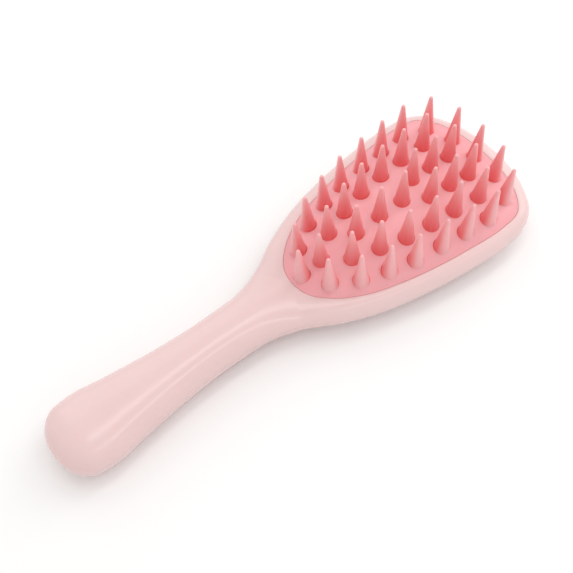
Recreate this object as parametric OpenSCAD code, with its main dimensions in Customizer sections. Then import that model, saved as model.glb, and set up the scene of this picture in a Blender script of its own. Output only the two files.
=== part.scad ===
// Scalp massager brush: a hollow two-shell handle and head, with a lift-out soft pad
// of tapered massage cones held on a rigid carrier plate.
// Millimetres. +X runs from the butt to the head end, +Y across, +Z from the back to
// the cones. The origin is under the middle of the overall box, on the resting plane.

/* [Body] */
// Overall length, butt to head end
body_len = 190; // [180:1:200]
// Widest part of the head
head_w = 66; // [64:1:70]
// Width of the narrow grip between butt and head
waist_w = 18.8; // [18:0.2:22]
// Width of the rounded butt
butt_w = 28; // [26:0.5:31]
// Height of the joint line between the two shells, above the resting plane
part_z = 9.3; // [9:0.1:10]
// Crown of the front of the grip above the joint line
grip_crown = 6.6; // [6:0.1:7.5]
// Height of the flat rim around the pad above the joint line
rim_rise = 4.2; // [4:0.1:4.6]
// Depth of the back below the joint line at the grip
grip_depth = 8.0; // [7.5:0.1:8.8]
// Wall thickness of both shells
wall = 2; // [1.8:0.1:2.2]

/* [Pad] */
// Length of the soft pad
pad_len = 88.2; // [86:0.2:89]
// Width of the soft pad
pad_w = 56.4; // [55:0.2:57]
// Gap between the pad's far edge and the head end
pad_margin = 5.7; // [5.4:0.1:6.5]
// Height of the pad's dome above the rim
dome_rise = 5; // [4:0.1:6]
// Height of each cone above the pad
cone_h = 17.1; // [14:0.1:19]
// Diameter of each cone at its foot
cone_d = 5.6; // [5:0.1:6]
// Diameter of each rounded tip
tip_d = 1.4; // [1:0.1:2]
// Clearance between the pad and the rim
pad_gap = 0.3; // [0.25:0.05:0.4]

/* [Hidden] */

SHELL_PINK = [0.93, 0.82, 0.81];
PAD_PINK = [0.90, 0.60, 0.62];
CARRIER_PINK = [0.90, 0.76, 0.75];

// Ends of the body and of the pad along X
butt_x = -body_len / 2;
head_x = body_len / 2;
pad_end_x = head_x - pad_margin;
pad_tip_x = pad_end_x - pad_len;
pad_mid_x = pad_end_x - 0.49 * pad_len;

// Heights of the rim, the pocket floor's two faces and the carrier plate's two faces
rim_z = part_z + rim_rise;
pocket_z = rim_z - 3.6;
floor_t = 1.6;
lip_t = 0.8;
plate_z = pocket_z + lip_t;
plate_t = 1.8;

// Lengths over which the two ends of the body round off in height
butt_round = 14;
head_round = pad_margin;
// The back stands this much proud of the resting plane before it is cut flat
foot_cut = 0.3;

// Half outline of the body: fraction of the length, then half width
butt_r = butt_w / 2;
waist_r = waist_w / 2;
head_r = head_w / 2;
BODY_CURVE = [
    [0, 0], [0.0095, 0.59 * butt_r], [0.033, 0.92 * butt_r], [0.068, butt_r],
    [0.142, 0.88 * butt_r], [0.237, 1.085 * waist_r], [0.353, waist_r],
    [0.425, 1.12 * waist_r], [0.477, 0.425 * head_r], [0.53, 0.6 * head_r],
    [0.604, 0.776 * head_r], [0.698, 0.903 * head_r], [0.793, 0.977 * head_r],
    [0.867, head_r], [0.917, 0.962 * head_r], [0.954, 0.84 * head_r],
    [0.978, 0.62 * head_r], [0.994, 0.35 * head_r], [1, 0]
];

// Half outline of the pad: fraction of its length, then fraction of its half width
PAD_CURVE = [
    [0, 0], [0.018, 0.24], [0.08, 0.46], [0.188, 0.667], [0.33, 0.81],
    [0.483, 0.908], [0.64, 0.97], [0.8, 1], [0.897, 0.947], [0.957, 0.72],
    [0.988, 0.42], [1, 0]
];

// Centres of the cones as fractions of the pad's length and half width, for +Y;
// a cone off the centre line is mirrored to -Y
OUTER_RING = [
    [0.045, 0], [0.105, 0.305], [0.205, 0.51], [0.315, 0.625], [0.425, 0.71],
    [0.545, 0.76], [0.66, 0.795], [0.775, 0.82], [0.89, 0.715], [0.94, 0.38],
    [0.95, 0]
];
INNER_RING = [
    [0.14, 0], [0.235, 0.225], [0.345, 0.335], [0.455, 0.425], [0.57, 0.47],
    [0.685, 0.495], [0.81, 0.52], [0.855, 0.185]
];
CENTRE_ROWS = [
    [0.315, 0], [0.435, 0], [0.55, 0], [0.65, 0.175], [0.755, 0.18]
];
CONES = concat(OUTER_RING, INNER_RING, CENTRE_ROWS);
// How far a cone leans with the slope of the dome under it, along and across, from 0 to 1
lean_along = 0.37;
lean_across = 0.165;

// Four studs under the carrier, and the sockets that hold them
stud_r = 2.4;
socket_r = stud_r + 0.05;
stud_h = 5.2;
socket_wall = 1.7;
STUDS = [for (u = [0.3, 0.78], side = [-1, 1]) [pad_tip_x + u * pad_len, side * 0.22 * pad_w]];

// Three pins that line the two shells up along the grip
pin_r = 1.6;
pin_h = 3;
post_r = 3.2;
PINS = [[butt_x + 16, 0], [butt_x + 52, 0], [butt_x + 86, 0]];

// Points drawn between two neighbouring points of each outline, and per quarter section
BODY_STEPS = 3;
PAD_STEPS = 2;
SECTION_STEPS = 6;

// --- Curves -------------------------------------------------------------------------

// Direction of a smooth curve at point i of list p, per millimetre of chord
function heading(p, i) =
    i == 0 ? [0, 1] :
    i == len(p) - 1 ? [0, -1] :
    let (
        before = norm(p[i] - p[i - 1]),
        after = norm(p[i + 1] - p[i])
    )
    ((p[i] - p[i - 1]) * after / before + (p[i + 1] - p[i]) * before / after)
        / (before + after);

// Point at fraction t of the smooth curve between points i and i + 1
function between(p, i, t) =
    let (
        chord = norm(p[i + 1] - p[i]),
        start = heading(p, i) * chord,
        stop = heading(p, i + 1) * chord
    )
    p[i] * (2 * t^3 - 3 * t^2 + 1) + start * (t^3 - 2 * t^2 + t)
        + p[i + 1] * (3 * t^2 - 2 * t^3) + stop * (t^3 - t^2);

// Smooth half outline through the points p, from one end of the axis to the other
function smooth(p, steps) = concat(
    [for (i = [0 : len(p) - 2], k = [0 : steps - 1]) between(p, i, k / steps)],
    [p[len(p) - 1]]
);

// Half outline moved inwards by d, with its two ends kept on the axis
function inset(p, d) = [
    for (i = [0 : len(p) - 1])
        let (
            a = i == 0 ? [p[1][0], -p[1][1]] : p[i - 1],
            b = i == len(p) - 1 ? [p[i - 1][0], -p[i - 1][1]] : p[i + 1],
            along = (b - a) / norm(b - a)
        )
        [p[i][0] + d * along[1], max(0, p[i][1] - d * along[0])]
];

// Whole closed outline, counter-clockwise, from a half outline
function whole(p) = concat(
    [for (i = [len(p) - 1 : -1 : 0]) p[i]],
    [for (i = [1 : len(p) - 2]) [p[i][0], -p[i][1]]]
);

BODY_HALF = smooth([for (c = BODY_CURVE) [butt_x + c[0] * body_len, c[1]]], BODY_STEPS);
PAD_HALF = smooth(
    [for (c = PAD_CURVE) [pad_tip_x + c[0] * pad_len, c[1] * pad_w / 2]], PAD_STEPS
);

// Half width of the pad at x, and 0 beyond its two ends
function pad_half_w(x) = lookup(x, PAD_HALF);

// Rises smoothly from 0 to 1 as x goes from a to b
function ramp(x, a, b) = let (t = min(1, max(0, (x - a) / (b - a)))) t * t * (3 - 2 * t);

// Quarter-round factor, 0 at the end of the body and 1 from distance 1 inwards
function rounded(t) = sqrt(1 - (1 - min(1, max(0, t)))^2);

// Height factor at x of a shell whose ends are moved inwards by d
function end_factor(x, d, far_round) =
    rounded((x - butt_x - d) / (butt_round - d)) * rounded((head_x - d - x) / (far_round - d));

// Rise of the front above the joint line, and depth of the back below it
function front_h(x, d) =
    (grip_crown + (rim_rise - grip_crown) * ramp(x, pad_tip_x - 32, pad_tip_x) - d)
        * end_factor(x, d, head_round);
function back_h(x, d) =
    (grip_depth + (part_z + foot_cut - grip_depth)
        * max(ramp(x, pad_tip_x - 30, pad_tip_x + 25), 1 - ramp(x, butt_x + 22, butt_x + 70))
        - d) * end_factor(x, d, 22);

// Width of the rounded edge of the front at x, inside which the front is flat
function front_edge(x, w) = w - min(w, pad_half_w(x)) * ramp(x, pad_tip_x - 1, pad_tip_x + 4);

// --- Lofted shells ------------------------------------------------------------------

// Half of a section: points from the edge at +w over the crown to -w
function section(w, edge, h, round_n) = [
    for (k = [-SECTION_STEPS : SECTION_STEPS])
        let (
            a = 90 * (1 - abs(k) / SECTION_STEPS),
            side = k < 0 ? 1 : -1,
            y = w - edge * (1 - cos(a)^(2 / round_n))
        )
        [k == 0 ? 0 : side * y, h * sin(a)^(2 / round_n)]
];

// Solid lofted through sections across X, closed on the joint plane, or dropped past it
module shell_solid(half, heights, edges, round_n, up, drop) {
    inner = [for (i = [1 : len(half) - 2]) i];
    rows = [
        for (i = inner)
            let (
                x = half[i][0],
                w = half[i][1],
                arc = section(w, edges[i], heights[i], round_n)
            )
            [
                for (q = concat(arc, drop > 0 ? [[-w, -drop], [w, -drop]] : []))
                    [x, q[0], part_z + up * q[1]]
            ]
    ];
    n = len(rows[0]);
    m = len(rows);
    points = concat(
        [for (r = rows, q = r) q],
        [[half[0][0], 0, part_z], [half[len(half) - 1][0], 0, part_z]]
    );
    sides = [
        for (j = [0 : m - 2], k = [0 : n - 1])
            let (a = j * n + k, b = j * n + (k + 1) % n)
            each [[a, b, b + n], [a, b + n, a + n]]
    ];
    start_cap = [for (k = [0 : n - 1]) [m * n, (k + 1) % n, k]];
    last = (m - 1) * n;
    end_cap = [for (k = [0 : n - 1]) [m * n + 1, last + k, last + (k + 1) % n]];
    faces = concat(sides, start_cap, end_cap);
    polyhedron(points, up < 0 ? faces : [for (f = faces) [f[0], f[2], f[1]]]);
}

// Front or back half of the body, moved inwards by d and dropped past the joint plane
module front_solid(d = 0, drop = 0) {
    half = inset(BODY_HALF, d);
    shell_solid(
        half,
        [for (p = half) front_h(p[0], d)],
        [for (p = half) max(0.4 * p[1], front_edge(p[0], p[1]) - d / 2)],
        2.15, 1, drop
    );
}

module back_solid(d = 0, drop = 0) {
    half = inset(BODY_HALF, d);
    shell_solid(
        half, [for (p = half) back_h(p[0], d)], [for (p = half) p[1]], 2.3, -1, drop
    );
}

// Prism of an outline between two heights
module prism(half, low, high) {
    translate([0, 0, low])
        linear_extrude(high - low)
            polygon(whole(half));
}

// --- Sub-parts ----------------------------------------------------------------------

// Round pillars between two heights at each of a list of places
module pillars(places, r, low, high) {
    for (p = places)
        translate([p[0], p[1], low])
            cylinder(h = high - low, r = r, $fn = 32);
}

// Front of the handle and head, with the pocket that the pad sits in
module front_shell() {
    opening = inset(PAD_HALF, -pad_gap);
    pocket = inset(PAD_HALF, -pad_gap - 1.4);
    floor_low = pocket_z - floor_t;
    pin_depth = pin_h + 0.4;
    color(SHELL_PINK)
        difference() {
            union() {
                difference() {
                    front_solid();
                    front_solid(wall, 1);
                }
                intersection() {
                    front_solid(0, 2);
                    prism(pocket, floor_low, rim_z);
                }
                intersection() {
                    front_solid(0.5);
                    pillars(PINS, post_r, part_z, part_z + 2 * grip_crown);
                }
                pillars(STUDS, socket_r + socket_wall, plate_z - stud_h - 1, pocket_z - 0.5);
            }
            prism(opening, pocket_z, rim_z + 1);
            pillars(STUDS, socket_r, plate_z - stud_h - 0.2, pocket_z + 1);
            pillars(PINS, pin_r + 0.05, part_z - 1, part_z + pin_depth);
        }
}

// Back of the handle and head, with the flat that the brush lies on
module back_shell() {
    color(SHELL_PINK)
        union() {
            difference() {
                back_solid();
                back_solid(wall, 1);
                translate([butt_x, -head_w, -2])
                    cube([body_len, 2 * head_w, 2]);
            }
            intersection() {
                back_solid(0.5);
                pillars(PINS, post_r, 0.8, part_z);
            }
            pillars(PINS, pin_r, part_z - 1, part_z + pin_h);
        }
}

// Rigid plate inside the pad, with the studs that plug it into the pocket
module pad_carrier() {
    color(CARRIER_PINK)
        union() {
            prism(inset(PAD_HALF, 1.6), plate_z, plate_z + plate_t);
            pillars(STUDS, stud_r, plate_z - stud_h, plate_z + 0.5);
        }
}

// Closed ring of points at one height: the pad outline inset by d, scaled about its middle
function pad_ring(d, s, z) = [
    for (p = whole(inset(PAD_HALF, d)))
        [pad_mid_x + s * (p[0] - pad_mid_x), s * p[1], z]
];

// Height of the dome where it has shrunk to fraction s of its outline
function dome_z(s) = rim_z + dome_rise * (1 - s * s);

// Bearing and distance of the pad's outline from its middle, in order of bearing
PAD_REACH = [
    for (i = [len(PAD_HALF) - 1 : -1 : 0])
        let (q = PAD_HALF[i] - [pad_mid_x, 0])
        [atan2(q[1], q[0]), norm(q)]
];

// Height of the dome over a place in plan
function dome_at(x, y) =
    let (q = [x - pad_mid_x, abs(y)])
    dome_z(min(1, norm(q) / lookup(atan2(q[1], q[0]), PAD_REACH)));

// Solid through a list of closed rings, with a point at each end
module ring_solid(rings, first, last) {
    n = len(rings[0]);
    m = len(rings);
    points = concat([for (r = rings, q = r) q], [first, last]);
    sides = [
        for (j = [0 : m - 2], k = [0 : n - 1])
            let (a = j * n + k, b = j * n + (k + 1) % n)
            each [[a, b, b + n], [a, b + n, a + n]]
    ];
    caps = [
        for (k = [0 : n - 1])
            let (b = (k + 1) % n)
            each [[m * n, b, k], [m * n + 1, (m - 1) * n + k, (m - 1) * n + b]]
    ];
    polyhedron(points, concat(sides, caps));
}

// Domed skin with a skirt and a lip that wraps the carrier; hollow above the carrier
module pad_skin() {
    top_z = plate_z + plate_t;
    chamber = dome_z(0) - 2.4 - top_z;
    ring_solid(
        concat(
            [for (s = [0.3, 0.55, 0.75, 0.9, 1]) pad_ring(0, s, dome_z(s))],
            [
                pad_ring(0, 1, pocket_z),
                pad_ring(4.5, 1, pocket_z),
                pad_ring(4.5, 1, plate_z),
                pad_ring(1.5, 1, plate_z),
                pad_ring(1.5, 1, top_z),
                pad_ring(2.6, 1, top_z)
            ],
            [for (s = [0.75, 0.5, 0.25]) pad_ring(2.6, s, top_z + chamber * (1 - s * s))]
        ),
        [pad_mid_x, 0, dome_z(0)],
        [pad_mid_x, 0, top_z + chamber]
    );
}

// One massage cone on the origin, rooted below it, with a fillet and a rounded tip
module cone() {
    foot_r = cone_d / 2;
    tip_r = tip_d / 2;
    tip_z = cone_h - tip_r;
    rotate_extrude($fn = 24)
        polygon(concat(
            [[0, -1], [foot_r + 0.5, -1], [foot_r + 0.5, 0], [foot_r, 0.7]],
            [for (a = [0 : 30 : 90]) [tip_r * cos(a), tip_z + tip_r * sin(a)]]
        ));
}

// Soft pad: the domed skin and its field of cones, moulded in one piece
module massage_pad() {
    color(PAD_PINK)
        union() {
            pad_skin();
            for (c = CONES, side = c[1] == 0 ? [1] : [1, -1]) {
                x = pad_tip_x + c[0] * pad_len;
                y = side * c[1] * pad_w / 2;
                reach_x = x < pad_mid_x ? pad_mid_x - pad_tip_x : pad_end_x - pad_mid_x;
                slope_x = 2 * dome_rise * (x - pad_mid_x) / reach_x^2;
                slope_y = 8 * dome_rise * y / pad_w^2;
                translate([x, y, dome_at(x, y)])
                    rotate([-lean_across * atan(slope_y), lean_along * atan(slope_x), 0])
                        cone();
            }
        }
}

front_shell();
back_shell();
pad_carrier();
massage_pad();
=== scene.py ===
"""Looks of the scalp massager brush: smooth shells, a soft pad of cones and studio light.

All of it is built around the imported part. Lengths in the modelling code are millimetres in the
row frame, and a mesh is scaled to metres when it is made. Lamps and camera are placed in metres.
"""
import math

import bmesh
import bpy
import numpy as np
from mathutils import Matrix, Vector, geometry


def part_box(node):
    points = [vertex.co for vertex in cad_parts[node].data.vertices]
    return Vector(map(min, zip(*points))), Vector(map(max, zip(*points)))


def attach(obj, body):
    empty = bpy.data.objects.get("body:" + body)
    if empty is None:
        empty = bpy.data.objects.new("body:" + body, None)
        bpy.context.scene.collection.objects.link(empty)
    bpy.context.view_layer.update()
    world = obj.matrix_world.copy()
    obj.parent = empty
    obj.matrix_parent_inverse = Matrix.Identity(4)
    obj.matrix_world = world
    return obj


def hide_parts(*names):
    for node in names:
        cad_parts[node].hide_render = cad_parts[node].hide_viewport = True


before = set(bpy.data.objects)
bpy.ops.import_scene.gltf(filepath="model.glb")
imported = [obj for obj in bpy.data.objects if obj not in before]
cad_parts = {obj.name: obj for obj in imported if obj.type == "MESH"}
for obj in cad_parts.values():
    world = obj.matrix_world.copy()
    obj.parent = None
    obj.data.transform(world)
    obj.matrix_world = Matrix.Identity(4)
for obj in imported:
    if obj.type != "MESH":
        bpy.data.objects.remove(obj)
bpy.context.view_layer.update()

MM = 0.001

# --- Sizes ----------------------------------------------------------------------------------

front_low, front_high = (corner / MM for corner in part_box("front_shell"))
pad_low, pad_high = (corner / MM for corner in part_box("massage_pad"))
carrier_low, carrier_high = (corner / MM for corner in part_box("pad_carrier"))

# Body: an R is half a width; crown, rise and depth are measured from the joint line
BUTT_X, HEAD_X = front_low.x, front_high.x
BODY_LEN = HEAD_X - BUTT_X
HEAD_R = 33.0
BUTT_R = 14.0
WAIST_R = 9.4
WALL = 2.0
GRIP_CROWN = 6.6
RIM_RISE = 4.2
GRIP_DEPTH = 8.0
PART_Z = front_high.z - GRIP_CROWN
RIM_Z = PART_Z + RIM_RISE
SEAM = 0.12  # chamfer of each shell along the joint line
SHELL_LIP = 0.12  # rounding of the pocket's edge
FRONT_POWER, BACK_POWER = 2.15, 2.3  # fullness of the rounded sections; 2 is an ellipse

# Pad and its pocket
PAD_TIP_X, PAD_END_X = pad_low.x, pad_high.x
PAD_LEN = PAD_END_X - PAD_TIP_X
PAD_R = pad_high.y
PAD_MID_X = PAD_END_X - 0.49 * PAD_LEN
POCKET_Z = pad_low.z
PAD_GAP = 0.3
TRAY_WALL = 1.4
FLOOR_T = 1.6
TRAY_Z = POCKET_Z - FLOOR_T
DOME_RISE = 5.0
SKIN_T = 2.4
PAD_ROLL = 0.3  # rounding of the pad's upper edge
FLARE = 0.27  # how far that edge stands out over the skirt, towards the pocket's wall
FLARE_H = 0.9

# Slot inside the pad for the carrier plate; an INSET is a distance in from the pad's outline
LIP_T = 0.8
PLATE_Z = POCKET_Z + LIP_T
PLATE_TOP = carrier_high.z
LIP_INSET = 4.5
SLOT_INSET = 1.5
CHAMBER_INSET = 2.6

# Sockets for the carrier's studs
STUD_R = 2.4
SOCKET_R = STUD_R + 0.05
SOCKET_WALL = 1.7
SOCKET_END = 0.8
SOCKET_LOW = carrier_low.z - 0.2
STUDS = [(PAD_TIP_X + u * PAD_LEN, side * 0.44 * PAD_R) for u in (0.3, 0.78) for side in (-1, 1)]

# Cones; the leans are shares of the dome's own slope
CONE_H = 17.1
CONE_R = 2.8
CONE_FILLET = 0.3
FILLET_SWEEP = math.radians(83)
TIP_R = 0.7
LEAN_ALONG, LEAN_ACROSS = 0.37, 0.165

# Half outline of the body: fraction of the length, then half width
BODY_CURVE = [
    (0, 0), (0.0095, 0.59 * BUTT_R), (0.033, 0.92 * BUTT_R), (0.068, BUTT_R),
    (0.142, 0.88 * BUTT_R), (0.237, 1.085 * WAIST_R), (0.353, WAIST_R),
    (0.425, 1.12 * WAIST_R), (0.477, 0.425 * HEAD_R), (0.53, 0.6 * HEAD_R),
    (0.604, 0.776 * HEAD_R), (0.698, 0.903 * HEAD_R), (0.793, 0.977 * HEAD_R),
    (0.867, HEAD_R), (0.917, 0.962 * HEAD_R), (0.954, 0.84 * HEAD_R),
    (0.978, 0.62 * HEAD_R), (0.994, 0.35 * HEAD_R), (1, 0),
]
# Half outline of the pad: fraction of its length, then fraction of its half width
PAD_CURVE = [
    (0, 0), (0.018, 0.24), (0.08, 0.46), (0.188, 0.667), (0.33, 0.81), (0.483, 0.908),
    (0.64, 0.97), (0.8, 1), (0.897, 0.947), (0.957, 0.72), (0.988, 0.42), (1, 0),
]
# Centres of the cones as fractions of the pad's length and half width, on the +Y side
OUTER_RING = [
    (0.045, 0), (0.105, 0.305), (0.205, 0.51), (0.315, 0.625), (0.425, 0.71), (0.545, 0.76),
    (0.66, 0.795), (0.775, 0.82), (0.89, 0.715), (0.94, 0.38), (0.95, 0),
]
INNER_RING = [
    (0.14, 0), (0.235, 0.225), (0.345, 0.335), (0.455, 0.425), (0.57, 0.47),
    (0.685, 0.495), (0.81, 0.52), (0.855, 0.185),
]
CENTRE_ROWS = [(0.315, 0), (0.435, 0), (0.55, 0), (0.65, 0.175), (0.755, 0.18)]


# --- Curves ---------------------------------------------------------------------------------

def smooth_curve(knots, steps=24):
    """Smooth half outline through the knots, square to the axis at both ends."""
    knots = np.array(knots, float)
    step = np.diff(knots, axis=0)
    chord = np.linalg.norm(step, axis=1)
    heading = np.zeros_like(knots)
    heading[0], heading[-1] = (0, 1), (0, -1)
    before, after = chord[:-1, None], chord[1:, None]
    heading[1:-1] = (step[:-1] * after / before + step[1:] * before / after) / (before + after)
    t = np.linspace(0, 1, steps, endpoint=False)[:, None]
    parts = []
    for i, span in enumerate(chord):
        parts.append(
            knots[i] * (2 * t**3 - 3 * t**2 + 1) + heading[i] * span * (t**3 - 2 * t**2 + t)
            + knots[i + 1] * (3 * t**2 - 2 * t**3) + heading[i + 1] * span * (t**3 - t**2)
        )
    return np.vstack(parts + [knots[-1:]])


def arc_fractions(curve):
    """Distance along a curve at each of its points, as a fraction of its length."""
    run = np.concatenate([[0], np.cumsum(np.linalg.norm(np.diff(curve, axis=0), axis=1))])
    return run / run[-1]


def at_fractions(curve, fractions):
    """Points at given fractions of a curve's length."""
    run = arc_fractions(curve)
    return np.stack([np.interp(fractions, run, curve[:, k]) for k in range(curve.shape[1])], 1)


def fractions_at(curve, places):
    """Fractions of a curve's length where it first reaches each x, between its two ends."""
    run = arc_fractions(curve)
    return [0, *(run[np.argmax(curve[:, 0] >= x)] for x in places), 1]


def inset(half, d):
    """Half outline moved inwards by d, with its two ends kept on the axis."""
    mirror = half * (1, -1)
    padded = np.vstack([mirror[1:2], half, mirror[-2:-1]])
    along = padded[2:] - padded[:-2]
    along /= np.linalg.norm(along, axis=1)[:, None]
    moved = half + d * np.stack([along[:, 1], -along[:, 0]], 1)
    moved[[0, -1], 1] = 0
    return moved


def whole(half):
    """Closed loop from a half outline; both may carry a height as a third number."""
    flip = np.ones(half.shape[1])
    flip[1] = -1
    return np.vstack([half, (half * flip)[-2:0:-1]])


def ramp(x, a, b):
    """Rises smoothly from 0 to 1 as x goes from a to b."""
    t = np.clip((x - a) / (b - a), 0, 1)
    return t * t * (3 - 2 * t)


def lifted(flat, z):
    """Plan points with a height added."""
    return np.column_stack([flat, np.broadcast_to(z, len(flat))])


def level(z):
    """Height function of a flat sheet."""
    return lambda x, y: np.full(len(x), z)


def circle(centre, radius, count, z):
    """Closed loop of points round a vertical axis."""
    turn = np.linspace(0, 2 * math.pi, count, endpoint=False)
    flat = np.stack([centre[0] + radius * np.cos(turn), centre[1] + radius * np.sin(turn)], 1)
    return lifted(flat, z)


def inside(points, loop):
    """Which plan points lie inside a closed loop."""
    x, y = points[:, 0][:, None], points[:, 1][:, None]
    x1, y1 = loop[:, 0], loop[:, 1]
    x2, y2 = np.roll(x1, -1), np.roll(y1, -1)
    spans = (y1 > y) != (y2 > y)
    rise = np.where(y2 == y1, 1e-12, y2 - y1)
    return ((x < (x2 - x1) * (y - y1) / rise + x1) & spans).sum(1) % 2 == 1


def between(points, loops):
    """Which plan points lie inside the first closed loop and outside all the others."""
    keep = inside(points, loops[0])
    for loop in loops[1:]:
        keep &= ~inside(points, loop)
    return keep


BODY_HALF = smooth_curve([(BUTT_X + u * BODY_LEN, y) for u, y in BODY_CURVE])
PAD_HALF = smooth_curve([(PAD_TIP_X + u * PAD_LEN, v * PAD_R) for u, v in PAD_CURVE])


# --- Mesh making ----------------------------------------------------------------------------

WELD = 0.002
SLIVER = 0.0005
# Spacing of the points inside a sheet, and the share of it that they keep clear of its edges
FLOOR_SPACING = 3.0
SKIN_SPACING = 1.1
SPOT_CLEARANCE = 0.6
BATCH = 64


def even_spots(loops, spacing):
    """Staggered rows of plan points between the loops, clear of the loops' own points."""
    fixed = np.vstack(loops)
    low, high = fixed.min(0), fixed.max(0)
    rows = np.arange(low[1], high[1], spacing * math.sqrt(3) / 2)
    spots = np.array([
        (x + (spacing / 2 if row % 2 else 0), y)
        for row, y in enumerate(rows) for x in np.arange(low[0], high[0], spacing)
    ])
    spots = spots[between(spots, loops)]
    clear = np.ones(len(spots), bool)
    # In batches, to keep the table of distances small
    for start in range(0, len(fixed), BATCH):
        batch = fixed[None, start:start + BATCH]
        clear &= np.linalg.norm(spots[:, None] - batch, axis=2).min(1) > SPOT_CLEARANCE * spacing
    return spots[clear]


class MeshMaker:
    """Collects grids and sheets of points, then welds them into one closed mesh."""

    def __init__(self):
        self.points, self.faces, self.painted_shades = [], [], []

    def add_points(self, points, depth=0.0):
        """Adds points with the depth of their painted shade, and gives back the place of the
        first.
        """
        start = len(self.points)
        self.points.extend(map(tuple, points))
        self.painted_shades.extend(np.broadcast_to(depth, len(points)))
        return start

    def grid(self, loops, painted_shades=None):
        """Quads between neighbouring closed loops of equal length."""
        count = len(loops[0])
        painted_shades = painted_shades or [0.0] * len(loops)
        starts = [self.add_points(loop, depth) for loop, depth in zip(loops, painted_shades)]
        for a, b in zip(starts, starts[1:]):
            for k in range(count):
                after = (k + 1) % count
                self.faces.append((a + k, a + after, b + after, b + k))

    def fan(self, loop, centre, depth=0.0):
        """Triangles from a closed loop to one point."""
        start = self.add_points(loop, depth)
        tip = self.add_points([centre], depth)
        count = len(loop)
        self.faces.extend((start + k, start + (k + 1) % count, tip) for k in range(count))

    def sheet(self, border, holes, spacing, height, depth=None):
        """Even triangles inside a closed border and outside round holes.

        They are lifted by height(x, y) and given painted shade by depth(x, y).
        """
        loops = [loop[:, :2] for loop in (border, *holes)]
        edges, start = [], 0
        for loop in loops:
            count = len(loop)
            edges.extend((start + k, start + (k + 1) % count) for k in range(count))
            start += count
        plan = np.vstack([*loops, even_spots(loops, spacing)])
        found = geometry.delaunay_2d_cdt([Vector(spot) for spot in plan], edges, [], 0, 1e-6)
        flat = np.array([tuple(spot) for spot in found[0]])
        triangles = np.array([face for face in found[2] if len(face) == 3])
        triangles = triangles[between(flat[triangles].mean(1), loops)]
        x, y = flat[:, 0], flat[:, 1]
        start = self.add_points(lifted(flat, height(x, y)), depth(x, y) if depth else 0.0)
        self.faces.extend(tuple(int(i) + start for i in triangle) for triangle in triangles)

    def build(self, name, material, sharp=35):
        """Object of the welded mesh, smooth except at edges sharper than the angle."""
        bm = bmesh.new()
        layer = bm.verts.layers.float.new("painted_shade_depth")
        verts = [bm.verts.new(Vector(point) * MM) for point in self.points]
        for vert, depth in zip(verts, self.painted_shades):
            vert[layer] = depth
        for face in self.faces:
            bm.faces.new([verts[i] for i in face])
        bmesh.ops.remove_doubles(bm, verts=bm.verts, dist=WELD * MM)
        bmesh.ops.dissolve_degenerate(bm, edges=bm.edges, dist=SLIVER * MM)
        bmesh.ops.recalc_face_normals(bm, faces=bm.faces)
        mesh = bpy.data.meshes.new(name)
        bm.to_mesh(mesh)
        bm.free()
        for polygon in mesh.polygons:
            polygon.use_smooth = True
        mesh.set_sharp_from_angle(angle=math.radians(sharp))
        mesh.materials.append(material)
        piece = bpy.data.objects.new(name, mesh)
        bpy.context.scene.collection.objects.link(piece)
        return piece


# --- Shells ---------------------------------------------------------------------------------
# A rounded section runs from each point of the body's edge in to its partner: on the centre
# line along the grip and under the back, and on the pocket's edge round the pad.

GRIP_STRANDS, HEAD_STRANDS, BACK_STRANDS = 170, 280, 420
PROFILE_STEPS, HOLLOW_STEPS, ROUND_STEPS = 20, 8, 5
SOCKET_POINTS = 40

# Where the partners move from the centre line to the pocket's edge
SPLIT_X = PAD_TIP_X - 7
SPLIT_RUN = 30
# Partners round the head, as x on the pocket's edge and x on the body's edge
RIM_MARKS = [4.5, 10, 20, 40, 60, 73]
EDGE_MARKS = [1.5, 9, 20.5, 40.5, 61, 74.5]
SMOOTHING = 60
# How far in from each rounded end the partner of its tip lies
BUTT_POLE, HEAD_POLE = 13, 24
# Stretches over which the front and the back change height
FRONT_RUN = (PAD_TIP_X - 32, PAD_TIP_X)
BACK_HEAD_RUN = (PAD_TIP_X - 30, PAD_TIP_X + 25)
BACK_BUTT_RUN = (BUTT_X + 22, BUTT_X + 70)


def pole_shift(distance, pole):
    """Shift of the partners towards the pole of a rounded end, fading with distance from it."""
    return pole * np.clip(1 - distance / (2 * pole), 0, 1) ** 2


def strands(d, rim):
    """The front's edge moved in by d, and its partners: the centre line, then the rim given."""
    edge = inset(BODY_HALF, d)
    split = int(np.searchsorted(edge[:, 0], SPLIT_X))
    grip, head = edge[:split + 1], edge[split:]
    grip = at_fractions(grip, np.linspace(0, 1, GRIP_STRANDS))
    x = grip[:, 0]
    to_rim = (rim[0, 0] - x[-1]) * ramp(x, SPLIT_X - SPLIT_RUN, SPLIT_X)
    spine_x = x + pole_shift(x - x[0], BUTT_POLE) + to_rim
    spine = np.stack([spine_x, np.zeros(GRIP_STRANDS)], 1)
    at_rim = np.linspace(0, 1, HEAD_STRANDS)
    at_edge = np.interp(at_rim, fractions_at(rim, RIM_MARKS), fractions_at(head, EDGE_MARKS))
    for _ in range(SMOOTHING):
        at_edge[1:-1] = (at_edge[:-2] + 2 * at_edge[1:-1] + at_edge[2:]) / 4
    outer = np.vstack([grip[:-1], at_fractions(head, at_edge)])
    inner = np.vstack([spine[:-1], at_fractions(rim, at_rim)])
    return outer, inner


def back_strands(d):
    """The back's edge moved in by d, and its partners on the centre line."""
    edge = at_fractions(inset(BODY_HALF, d), np.linspace(0, 1, BACK_STRANDS))
    x = edge[:, 0]
    spine_x = x + pole_shift(x - x[0], BUTT_POLE) - pole_shift(x[-1] - x, HEAD_POLE)
    return edge, np.stack([spine_x, np.zeros(BACK_STRANDS)], 1)


def front_rise(x):
    """Rise of the front above the joint line along the brush."""
    return GRIP_CROWN + (RIM_RISE - GRIP_CROWN) * ramp(x, *FRONT_RUN)


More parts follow.
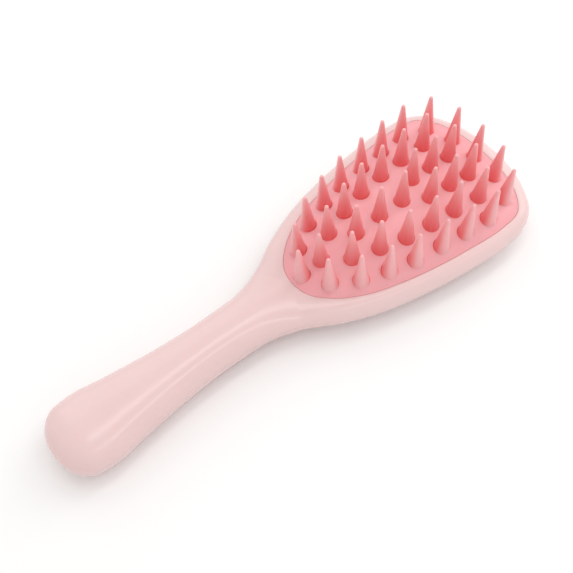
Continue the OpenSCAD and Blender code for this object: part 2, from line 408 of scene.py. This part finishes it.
def back_drop(x):
    """Depth of the back below the joint line along the brush."""
    toward_head = ramp(x, *BACK_HEAD_RUN)
    toward_butt = 1 - ramp(x, *BACK_BUTT_RUN)
    return GRIP_DEPTH + (PART_Z - GRIP_DEPTH) * np.maximum(toward_head, toward_butt)


def rounded_loops(outer, inner, rise, start_z, power, steps=PROFILE_STEPS):
    """Loops from the outer outline up (or down) a rounded section to the inner one."""
    loops = []
    for k in range(steps + 1):
        angle = 0.5 * math.pi * k / steps
        run = 1 - math.cos(angle) ** (2 / power) if k < steps else 1.0
        lift = math.sin(angle) ** (2 / power)
        flat = outer + (inner - outer) * run
        loops.append(whole(lifted(flat, start_z + rise * lift)))
    return loops


def quarter_round(top, side, top_z, radius):
    """Loops over a rounded edge, from just past its top outline down to its side outline."""
    loops = []
    for k in range(1, ROUND_STEPS + 1):
        angle = 0.5 * math.pi * k / ROUND_STEPS
        flat = top + (side - top) * math.sin(angle)
        loops.append(whole(lifted(flat, top_z - radius * (1 - math.cos(angle)))))
    return loops


def add_wells(maker, mouths, low_z):
    """Straight round walls from a mouth at each stud down to a flat end."""
    for stud, mouth in zip(STUDS, mouths):
        low = mouth * (1, 1, 0) + (0, 0, low_z)
        maker.grid([mouth, low])
        maker.fan(low, (*stud, low_z))


def front_shell(material):
    """Front of the handle and head: rounded outside, pocket with four sockets, hollow inside."""
    maker = MeshMaker()
    pocket_edge = inset(PAD_HALF, -PAD_GAP - SHELL_LIP)
    outer, inner = strands(0, pocket_edge)
    under, _ = strands(SEAM, pocket_edge)
    rise = front_rise(inner[:, 0]) - SEAM
    outside = [whole(lifted(under, PART_Z))]
    outside += rounded_loops(outer, inner, rise, PART_Z + SEAM, FRONT_POWER)
    maker.grid(outside)

    lip = inner[GRIP_STRANDS - 1:]
    wall = at_fractions(inset(PAD_HALF, -PAD_GAP), np.linspace(0, 1, HEAD_STRANDS))
    pocket = [whole(lifted(lip, PART_Z + front_rise(lip[:, 0])))]
    pocket += quarter_round(lip, wall, RIM_Z, SHELL_LIP)
    pocket.append(whole(lifted(wall, POCKET_Z)))
    maker.grid(pocket)
    mouths = [circle(stud, SOCKET_R, SOCKET_POINTS, POCKET_Z) for stud in STUDS]
    maker.sheet(pocket[-1], mouths, FLOOR_SPACING, level(POCKET_Z))
    add_wells(maker, mouths, SOCKET_LOW)

    hollow, ceiling = strands(WALL, inset(PAD_HALF, -PAD_GAP - TRAY_WALL))
    maker.grid([outside[0], whole(lifted(hollow, PART_Z))])
    inside_rise = front_rise(ceiling[:, 0]) - WALL
    maker.grid(rounded_loops(hollow, ceiling, inside_rise, PART_Z, FRONT_POWER, HOLLOW_STEPS))
    tray_top = whole(lifted(ceiling, PART_Z + inside_rise)[GRIP_STRANDS - 1:])
    tray_low = tray_top * (1, 1, 0) + (0, 0, TRAY_Z)
    maker.grid([tray_top, tray_low])
    posts = [circle(stud, SOCKET_R + SOCKET_WALL, SOCKET_POINTS, TRAY_Z) for stud in STUDS]
    maker.sheet(tray_low, posts, FLOOR_SPACING, level(TRAY_Z))
    add_wells(maker, posts, SOCKET_LOW - SOCKET_END)
    return maker.build("front_shell_skin", material)


def back_shell(material):
    """Back of the handle and head: a crowned hollow shell, flat enough in the middle to lie on."""
    maker = MeshMaker()
    outer, spine = back_strands(0)
    under, _ = back_strands(SEAM)
    rise = SEAM - back_drop(spine[:, 0])
    outside = [whole(lifted(under, PART_Z))]
    outside += rounded_loops(outer, spine, rise, PART_Z - SEAM, BACK_POWER)
    maker.grid(outside)
    hollow, ceiling = back_strands(WALL)
    maker.grid([outside[0], whole(lifted(hollow, PART_Z))])
    inside_rise = WALL - back_drop(ceiling[:, 0])
    maker.grid(rounded_loops(hollow, ceiling, inside_rise, PART_Z, BACK_POWER, HOLLOW_STEPS))
    return maker.build("back_shell_skin", material)


# --- Pad ------------------------------------------------------------------------------------

CONE_SIDES = 36
FILLET_STEPS, SIDE_STEPS, TIP_STEPS = 5, 20, 6
CROWD_REACH = 7

# Depth of painted shade: 0 on the skin, down to -1 where it darkens the skin's rim, and on a cone
# from PALE up to 1 where it reddens the crowded foot
RIM_PAINTED_SHADE = -1
RIM_SHADE_FADE = 5  # power with which the painted shade deepens the skin towards its rim
PALE = 0.1
# Painted shade in the gap between pad and shell: deep red on the pad's roll in the groove, paler
# down the skirt
GROOVE_PAINTED_SHADE = 0.8
SKIRT_PAINTED_SHADE = 0.35


def dome_reach(x, y):
    """Fraction of the way out from the pad's middle to its outline."""
    border = whole(PAD_HALF)
    bearing = np.arctan2(border[:, 1], border[:, 0] - PAD_MID_X)
    reach = np.hypot(border[:, 0] - PAD_MID_X, border[:, 1])
    order = np.argsort(bearing)
    facing = np.arctan2(y, x - PAD_MID_X)
    limit = np.interp(facing, bearing[order], reach[order], period=2 * math.pi)
    return np.clip(np.hypot(x - PAD_MID_X, y) / limit, 0, 1)


def dome_height(x, y):
    """Height of the domed skin."""
    return RIM_Z + DOME_RISE * (1 - dome_reach(x, y) ** 2)


def rim_painted_shade(x, y):
    """Painted shade of the skin, darker near the rim, standing in for its edge turning away from
    the light.
    """
    return RIM_PAINTED_SHADE * dome_reach(x, y) ** RIM_SHADE_FADE


def cone_places():
    """Foot and lean of each cone, mirrored across the brush."""
    for u, v in OUTER_RING + INNER_RING + CENTRE_ROWS:
        for side in ((1, -1) if v else (1,)):
            x, y = PAD_TIP_X + u * PAD_LEN, side * v * PAD_R
            reach_x = PAD_MID_X - PAD_TIP_X if x < PAD_MID_X else PAD_END_X - PAD_MID_X
            slope_x = 2 * DOME_RISE * (x - PAD_MID_X) / reach_x**2
            slope_y = 2 * DOME_RISE * y / PAD_R**2
            yield (x, y), (LEAN_ALONG * slope_x, LEAN_ACROSS * slope_y)


def cone_profile():
    """Radius and height up a cone from its foot on the skin to just under its tip."""
    points = []
    for k in range(FILLET_STEPS + 1):
        angle = FILLET_SWEEP * k / FILLET_STEPS
        radius = CONE_R + CONE_FILLET * (1 - math.sin(angle))
        points.append((radius, CONE_FILLET * (1 - math.cos(angle))))
    foot_r, foot_z = points[-1]
    ball_z = CONE_H - TIP_R
    for k in range(1, SIDE_STEPS + 1):
        t = k / SIDE_STEPS
        points.append((foot_r + (TIP_R - foot_r) * t, foot_z + (ball_z - foot_z) * t))
    for k in range(1, TIP_STEPS):
        angle = 0.5 * math.pi * k / TIP_STEPS
        points.append((TIP_R * math.cos(angle), ball_z + TIP_R * math.sin(angle)))
    return points


def crowding(foot, bearings):
    """How closely the other cones crowd each side of a cone, from 0 in the open to 1; it sets the
    painted shade low on those sides.
    """
    total = np.zeros(len(bearings))
    for (x, y), _ in cone_places():
        if (x, y) != foot:
            away = math.hypot(x - foot[0], y - foot[1])
            facing = np.cos(bearings - math.atan2(y - foot[1], x - foot[0]))
            total += min(1.0, CROWD_REACH / away) ** 2 * np.clip(facing, 0, 1) ** 2
    return np.clip(total, 0, 1)


def add_cone(maker, place, lean):
    """One cone. Gives back its foot, a loop that lies on the dome."""
    axis = Vector((*lean, 1)).normalized()
    across = Vector((1, 0, -lean[0])).normalized()
    along = axis.cross(across)
    base = Vector((*place, dome_height(*place)))
    foot = circle(place, CONE_R + CONE_FILLET, CONE_SIDES, 0)
    foot[:, 2] = dome_height(foot[:, 0], foot[:, 1])
    turn = np.linspace(0, 2 * math.pi, CONE_SIDES, endpoint=False)
    crowd = crowding(place, turn)
    loops, painted_shades = [foot], [rim_painted_shade(foot[:, 0], foot[:, 1])]
    for step, (radius, z) in enumerate(cone_profile()[1:], 1):
        middle = base + axis * z
        ring = np.array([
            middle + (across * math.cos(angle) + along * math.sin(angle)) * radius
            for angle in turn
        ])
        # The fillet follows the dome at first and ends square to the cone's own axis
        settled = min(1.0, step / FILLET_STEPS)
        ring[:, 2] += (1 - settled) * (foot[:, 2] - base.z)
        loops.append(ring)
        # Painted shade: darker and redder low down on the sides that other cones crowd
        painted_shades.append(PALE + (1 - PALE) * crowd * (1 - z / CONE_H))
    maker.grid(loops, painted_shades)
    maker.fan(loops[-1], tuple(base + axis * CONE_H), PALE)
    return foot


def massage_pad(material):
    """Soft pad: domed skin with its cones, skirt and lip, hollow above the carrier plate."""
    maker = MeshMaker()
    feet = [add_cone(maker, place, lean) for place, lean in cone_places()]
    # As many points as the pocket's wall has, so that the gap between the two stays even
    half = at_fractions(PAD_HALF, np.linspace(0, 1, HEAD_STRANDS))
    shoulder = inset(half, PAD_ROLL)
    maker.sheet(whole(shoulder), feet, SKIN_SPACING, dome_height, rim_painted_shade)

    shoulder_z = dome_height(shoulder[:, 0], shoulder[:, 1])
    loops = [whole(lifted(shoulder, shoulder_z))]
    loops += quarter_round(shoulder, inset(half, -FLARE), shoulder_z, PAD_ROLL)
    # Painted shade: the rim's on the shoulder and top of the roll, deep red lower on the roll in
    # the groove, paler down the skirt
    painted_shades = [RIM_PAINTED_SHADE] * 3 + [GROOVE_PAINTED_SHADE] * 3
    for d, z, depth in (
        (-FLARE, RIM_Z - FLARE_H, SKIRT_PAINTED_SHADE), (0, RIM_Z - 2 * FLARE_H, SKIRT_PAINTED_SHADE),
        (0, POCKET_Z, SKIRT_PAINTED_SHADE), (LIP_INSET, POCKET_Z, 0), (LIP_INSET, PLATE_Z, 0),
        (SLOT_INSET, PLATE_Z, 0), (SLOT_INSET, PLATE_TOP, 0), (CHAMBER_INSET, PLATE_TOP, 0),
    ):
        loops.append(whole(lifted(inset(half, d), z)))
        painted_shades.append(depth)
    maker.grid(loops, painted_shades)

    chamber_rise = RIM_Z + DOME_RISE - SKIN_T - PLATE_TOP
    under = inset(half, CHAMBER_INSET)
    vault = []
    for share in np.linspace(1, 0.1, 10):
        flat = (under - (PAD_MID_X, 0)) * share + (PAD_MID_X, 0)
        vault.append(whole(lifted(flat, PLATE_TOP + chamber_rise * (1 - share * share))))
    maker.grid(vault)
    maker.fan(vault[-1], (PAD_MID_X, 0, PLATE_TOP + chamber_rise))
    return maker.build("massage_pad_moulding", material, sharp=50)


# --- Materials ------------------------------------------------------------------------------

# Linear colours, in pairs where a surface drifts between two near shades
SHELL_PINKS = (0.788, 0.572, 0.562), (0.810, 0.596, 0.585)
SKIN_PINKS = (0.905, 0.470, 0.495), (0.925, 0.500, 0.525)
# Painted shade for the skin near its rim
RIM_SHADE_PINK = (0.865, 0.400, 0.425)
CONE_PINK = (0.885, 0.465, 0.475)
# Painted shade, darker and redder, low on crowded cones and in the groove round the pad
PAINTED_SHADE_REDS = (0.830, 0.150, 0.155), (0.850, 0.195, 0.200)
CARRIER_PINKS = (0.78, 0.55, 0.54), (0.82, 0.60, 0.585)
FLOOR_WHITES = (0.935, 0.93, 0.925), (0.95, 0.945, 0.94)
SHEEN_TINT = (1.0, 0.86, 0.86, 1)


def new_material(name):
    """Empty material with a principled shader, its node tree and the shader."""
    material = bpy.data.materials.new(name)
    material.use_nodes = True
    tree = material.node_tree
    tree.nodes.clear()
    output = tree.nodes.new("ShaderNodeOutputMaterial")
    shader = tree.nodes.new("ShaderNodeBsdfPrincipled")
    tree.links.new(shader.outputs["BSDF"], output.inputs["Surface"])
    return material, tree, shader


def set_inputs(node, values):
    """Constants for a node's sockets, by name."""
    for name, value in values.items():
        node.inputs[name].default_value = value


def noise(tree, scale, detail, roughness=0.5, squash_z=1.0):
    """Noise fixed to the piece, so that it rides along; a small squash draws it out along Z."""
    place = tree.nodes.new("ShaderNodeTexCoord")
    stretch = tree.nodes.new("ShaderNodeMapping")
    set_inputs(stretch, {"Scale": (1, 1, squash_z)})
    tree.links.new(place.outputs["Object"], stretch.inputs["Vector"])
    node = tree.nodes.new("ShaderNodeTexNoise")
    set_inputs(node, {"Scale": scale, "Detail": detail, "Roughness": roughness})
    tree.links.new(stretch.outputs["Vector"], node.inputs["Vector"])
    return node.outputs["Fac"]


def remap(tree, value, low, high, start=0.3, stop=0.7):
    """Value between start and stop carried to low and high."""
    node = tree.nodes.new("ShaderNodeMapRange")
    set_inputs(node, {"From Min": start, "From Max": stop, "To Min": low, "To Max": high})
    tree.links.new(value, node.inputs["Value"])
    return node.outputs["Result"]


def mix_colours(tree, fac, a, b):
    """Colour between a and b."""
    node = tree.nodes.new("ShaderNodeMix")
    node.data_type = "RGBA"
    tree.links.new(fac, node.inputs["Factor"])
    for socket, colour in ((node.inputs["A"], a), (node.inputs["B"], b)):
        if isinstance(colour, tuple):
            socket.default_value = (*colour, 1)
        else:
            tree.links.new(colour, socket)
    return node.outputs["Result"]


def drifting(tree, pattern, colours):
    """Colour that drifts between two shades with the noise."""
    return mix_colours(tree, remap(tree, pattern, 0, 1), *colours)


def roughen(tree, shader, pattern, low, high):
    """Roughness that wanders between two values with the noise."""
    tree.links.new(remap(tree, pattern, low, high), shader.inputs["Roughness"])


def bump(tree, shader, height, distance, strength):
    """Fine relief on the surface."""
    node = tree.nodes.new("ShaderNodeBump")
    set_inputs(node, {"Strength": strength, "Distance": distance})
    tree.links.new(height, node.inputs["Height"])
    tree.links.new(node.outputs["Normal"], shader.inputs["Normal"])


def shell_plastic():
    """Pale pink glossy moulded plastic, with faint colour drift, smudges and flow ripple."""
    material, tree, shader = new_material("shell_plastic")
    colour = drifting(tree, noise(tree, 22, 2), SHELL_PINKS)
    tree.links.new(colour, shader.inputs["Base Color"])
    roughen(tree, shader, noise(tree, 90, 4, 0.6), 0.13, 0.19)
    bump(tree, shader, noise(tree, 260, 2), 0.00002, 0.5)
    set_inputs(shader, {
        "IOR": 1.5,
        "Subsurface Weight": 0.2,
        "Subsurface Radius": (1.0, 0.55, 0.45),
        "Subsurface Scale": 0.0015,
    })
    return material


def pad_silicone():
    """Coral silicone: a pale skin with painted shade at its rim, and deeper painted shade low on
    crowded cones and down the groove and skirt.
    """
    material, tree, shader = new_material("pad_silicone")
    depth = tree.nodes.new("ShaderNodeAttribute")
    depth.attribute_name = "painted_shade_depth"
    skin = drifting(tree, noise(tree, 35, 2), SKIN_PINKS)
    # Painted shade: the skin darkens towards its rim
    rim = remap(tree, depth.outputs["Fac"], 1, 0, RIM_PAINTED_SHADE, 0)
    skin = mix_colours(tree, rim, skin, RIM_SHADE_PINK)
    # Painted shade: cones redden low on crowded sides, and so do the pad's edge in the groove and
    # its skirt
    deep_shade_share = remap(tree, depth.outputs["Fac"], 0, 1, PALE, 1)
    foot = drifting(tree, noise(tree, 1100, 2, 0.5, 0.06), PAINTED_SHADE_REDS)
    cone = mix_colours(tree, deep_shade_share, CONE_PINK, foot)
    on_cone = remap(tree, depth.outputs["Fac"], 0, 1, 0, PALE)
    colour = mix_colours(tree, on_cone, skin, cone)
    tree.links.new(colour, shader.inputs["Base Color"])
    roughen(tree, shader, noise(tree, 500, 4, 0.6), 0.34, 0.44)
    bump(tree, shader, noise(tree, 900, 3), 0.00002, 0.5)
    set_inputs(shader, {
        "IOR": 1.5,
        "Subsurface Weight": 0.4,
        "Subsurface Radius": (1.0, 0.35, 0.3),
        "Subsurface Scale": 0.002,
        "Specular IOR Level": 0.25,
        "Sheen Weight": 0.15,
        "Sheen Roughness": 0.4,
        "Sheen Tint": SHEEN_TINT,
    })
    return material


def carrier_plastic():
    """Plain matt moulded plastic of the hidden carrier plate."""
    material, tree, shader = new_material("carrier_plastic")
    colour = drifting(tree, noise(tree, 60, 3), CARRIER_PINKS)
    tree.links.new(colour, shader.inputs["Base Color"])
    roughen(tree, shader, noise(tree, 700, 5, 0.6), 0.42, 0.56)
    bump(tree, shader, noise(tree, 1400, 4), 0.00004, 0.6)
    set_inputs(shader, {"Subsurface Weight": 0.1, "Subsurface Scale": 0.002})
    return material


def floor_finish():
    """Pale seamless studio floor."""
    material, tree, shader = new_material("studio_floor")
    colour = drifting(tree, noise(tree, 3, 2), FLOOR_WHITES)
    tree.links.new(colour, shader.inputs["Base Color"])
    set_inputs(shader, {"Roughness": 0.9, "Specular IOR Level": 0.1})
    return material


# --- Studio ---------------------------------------------------------------------------------

FLOOR_R = 3000.0
FLOOR_Z = -0.02

# Overhead strip boxes, which draw the two streaks along the grip: name, y, width and power
STRIPS = [("strip_far", 0.085, 0.14, 0.95), ("strip_near", -0.285, 0.07, 0.65)]
STRIP_X, STRIP_Z = 0.39, 0.80
STRIP_LEN = 1.02

WORLD_COLOUR = (1.0, 0.995, 0.99, 1)
WORLD_STRENGTH = 0.845

CAMERA_AZIMUTH = -34.43
CAMERA_ELEVATION = 59.72
CAMERA_ROLL = -3.95
CAMERA_DISTANCE = 0.3178
CAMERA_TARGET = Vector((-0.00324, -0.00229, 0.0190))
CAMERA_LENS = 60.03


def build_floor():
    """Wide floor under the brush."""
    maker = MeshMaker()
    maker.fan(circle((0, 0), FLOOR_R, 64, FLOOR_Z), (0, 0, FLOOR_Z))
    floor = maker.build("studio_floor", floor_finish())


def area_light(name, place, target, size, power):
    """Rectangular softbox at a place, facing a target; size is its width and height."""
    data = bpy.data.lights.new(name, "AREA")
    data.shape = "RECTANGLE"
    data.size, data.size_y = size
    data.energy = power
    light = bpy.data.objects.new(name, data)
    light.location = place
    light.rotation_euler = (Vector(target) - Vector(place)).to_track_quat("-Z", "Y").to_euler()
    bpy.context.scene.collection.objects.link(light)


def build_lights():
    """Soft white surroundings, large boxes on the right and far sides, two strips overhead."""
    world = bpy.data.worlds.new("studio")
    bpy.context.scene.world = world
    world.use_nodes = True
    background = world.node_tree.nodes["Background"]
    set_inputs(background, {"Color": WORLD_COLOUR, "Strength": WORLD_STRENGTH})
    area_light("right", (0.9, 0.05, 0.55), (0.03, 0, 0.01), (0.7, 0.7), 2.1)
    area_light("far", (0.1, 0.9, 0.7), (0, 0, 0), (0.8, 0.8), 1.05)
    for name, y, width, power in STRIPS:
        area_light(name, (STRIP_X, y, STRIP_Z), (STRIP_X, y, 0), (STRIP_LEN, width), power)


def build_camera():
    """Camera high on the near side, turned a little about its own line of sight."""
    angles = (CAMERA_AZIMUTH, CAMERA_ELEVATION, CAMERA_ROLL)
    azimuth, elevation, roll = (math.radians(angle) for angle in angles)
    level_part = math.cos(elevation)
    back = Vector((
        math.sin(azimuth) * level_part, -math.cos(azimuth) * level_part, math.sin(elevation),
    ))
    right = Vector((math.cos(azimuth), math.sin(azimuth), 0))
    up = back.cross(right)
    turned_right = math.cos(roll) * right + math.sin(roll) * up
    turned_up = math.cos(roll) * up - math.sin(roll) * right
    data = bpy.data.cameras.new("camera")
    data.lens = CAMERA_LENS
    data.sensor_width = 36
    data.clip_start, data.clip_end = 0.01, 20
    camera = bpy.data.objects.new("camera", data)
    turn = Matrix((turned_right, turned_up, back)).transposed().to_4x4()
    camera.matrix_world = Matrix.Translation(CAMERA_TARGET + back * CAMERA_DISTANCE) @ turn
    bpy.context.scene.collection.objects.link(camera)
    bpy.context.scene.camera = camera


def build_object():
    """Every visible piece, each on its body."""
    shell = shell_plastic()
    front = front_shell(shell)
    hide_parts("front_shell")
    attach(front, "body")
    back = back_shell(shell)
    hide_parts("back_shell")
    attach(back, "body")
    pad = massage_pad(pad_silicone())
    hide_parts("massage_pad")
    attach(pad, "pad")
    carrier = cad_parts["pad_carrier"]
    carrier.data.materials.clear()
    carrier.data.materials.append(carrier_plastic())


build_camera()
build_lights()
build_floor()
build_object()

bpy.context.scene.view_settings.view_transform = "Standard"
